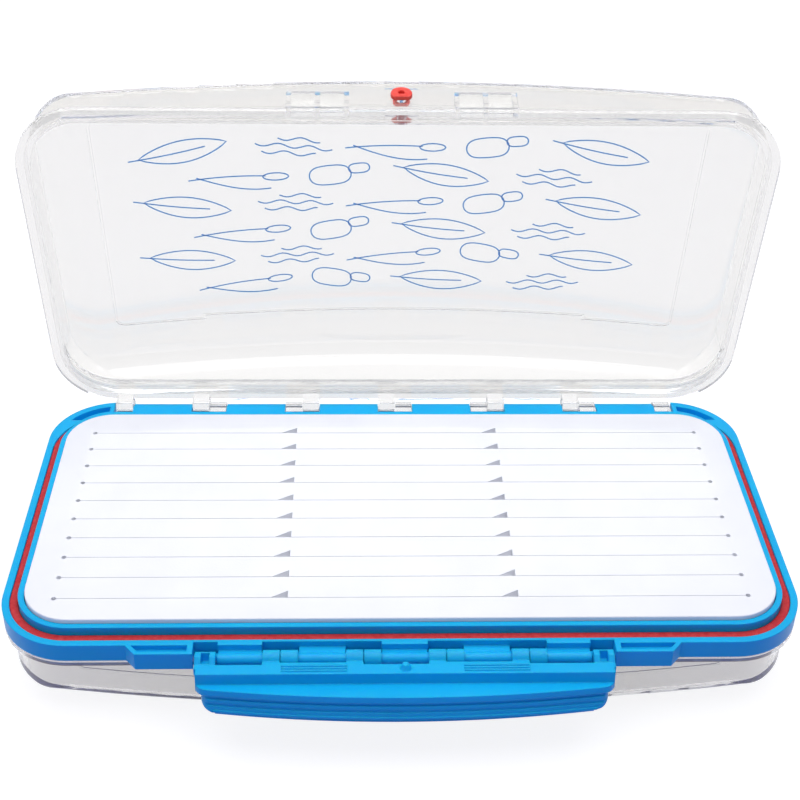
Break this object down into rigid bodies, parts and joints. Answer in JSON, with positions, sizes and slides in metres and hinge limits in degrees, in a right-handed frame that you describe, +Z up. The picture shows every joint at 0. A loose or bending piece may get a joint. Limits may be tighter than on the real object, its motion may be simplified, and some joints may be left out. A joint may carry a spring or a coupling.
{
  "type": "fly box",
  "caption": "Waterproof double-sided fly box: a frame with slit foam on both sides between clear hinged lids, held by wide snap latches.",
  "frame": {"origin": "centre of the flat underside of the lower lid, on which the closed box lies", "axes": "+Z up; +X to the right seen from the latches; -Y the latch side, +Y the hinge side"},
  "size_m": [0.198, 0.1387, 0.1247],
  "materials": {
    "blue_plastic": "satin moulded ABS",
    "clear_plastic": "clear polished polycarbonate",
    "gasket_rubber": "soft silicone cord",
    "plug_rubber": "soft silicone",
    "white_foam": "closed-cell EVA foam",
    "pin_steel": "drawn stainless steel"
  },
  "bodies": {
    "frame": {"mid_frame": "blue_plastic", "upper_gasket": "gasket_rubber", "lower_gasket": "gasket_rubber", "upper_foam": "white_foam", "lower_foam": "white_foam", "hinge_pin_1": "pin_steel", "hinge_pin_2": "pin_steel", "hinge_pin_3": "pin_steel", "hinge_pin_4": "pin_steel", "hinge_pin_5": "pin_steel", "hinge_pin_6": "pin_steel"},
    "upper_lid": {"upper_lid": "clear_plastic", "upper_valve_plug": "plug_rubber"},
    "lower_lid": {"lower_lid": "clear_plastic", "lower_valve_plug": "plug_rubber"},
    "upper_latch": {"upper_latch": "blue_plastic"},
    "lower_latch": {"lower_latch": "blue_plastic"}
  },
  "joints": [
    {"name": "upper_lid_hinge", "type": "hinge", "parent": "frame", "child": "upper_lid", "pos_m": [0, 0.0511, 0.0217], "axis": [1, 0, 0], "range_deg": [-20, 80]},
    {"name": "lower_lid_hinge", "type": "hinge", "parent": "frame", "child": "lower_lid", "pos_m": [0, 0.0511, 0.0217], "axis": [1, 0, 0], "range_deg": [0, 100]},
    {"name": "upper_latch_pivot", "type": "hinge", "parent": "frame", "child": "upper_latch", "pos_m": [0, -0.0534, 0.0217], "axis": [1, 0, 0], "range_deg": [-80, 0]},
    {"name": "lower_latch_pivot", "type": "hinge", "parent": "frame", "child": "lower_latch", "pos_m": [0, -0.0534, 0.0217], "axis": [1, 0, 0], "range_deg": [-6, 0]}
  ]
}
